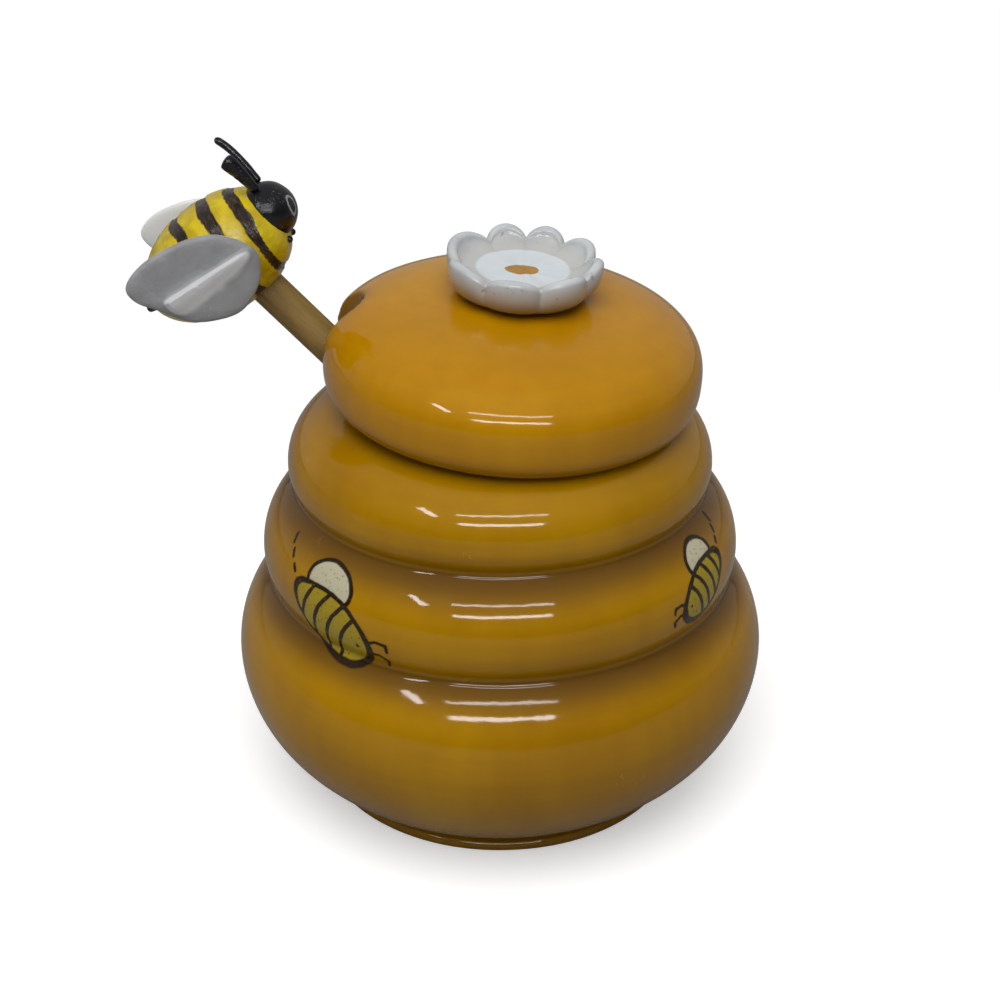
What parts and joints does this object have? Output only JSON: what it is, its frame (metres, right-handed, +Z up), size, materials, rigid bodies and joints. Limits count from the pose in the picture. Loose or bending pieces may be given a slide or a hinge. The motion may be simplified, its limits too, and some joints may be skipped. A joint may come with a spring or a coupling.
{
  "type": "beehive honey pot",
  "caption": "Rolled beehive honey pot with a lift-off lid, a flower knob and a turned wooden dipper that carries a bee.",
  "frame": {"origin": "centre of the pot's flat underside", "axes": "+Z up along the pot's axis, -Y towards the viewer, -X towards the dipper's handle and the lid's notch"},
  "size_m": [0.133, 0.115, 0.1393],
  "materials": {
    "ochre_glaze": "glossy ochre glaze over stoneware",
    "white_glaze": "glossy white glaze with an ochre centre",
    "pale_wood": "bare pale turned wood",
    "yellow_paint": "painted resin, yellow with dark stripes",
    "black_paint": "black painted resin",
    "white_paint": "white painted resin"
  },
  "bodies": {
    "pot": {"pot_body": "ochre_glaze"},
    "lid": {"lid": "ochre_glaze", "daisy_knob": "white_glaze"},
    "dipper": {"dipper": "pale_wood", "bee_body": "yellow_paint", "bee_head": "black_paint", "bee_wing_left": "white_paint", "bee_wing_right": "white_paint", "bee_antenna_left": "black_paint", "bee_antenna_right": "black_paint"}
  },
  "joints": [
    {"name": "lid_lift", "type": "slide", "parent": "pot", "child": "lid", "axis": [0, 0, 1], "range_m": [0, 0.06]},
    {"name": "dipper_draw", "type": "slide", "parent": "pot", "child": "dipper", "axis": [-0.682, 0, 0.7314], "range_m": [0, 0.05]}
  ]
}
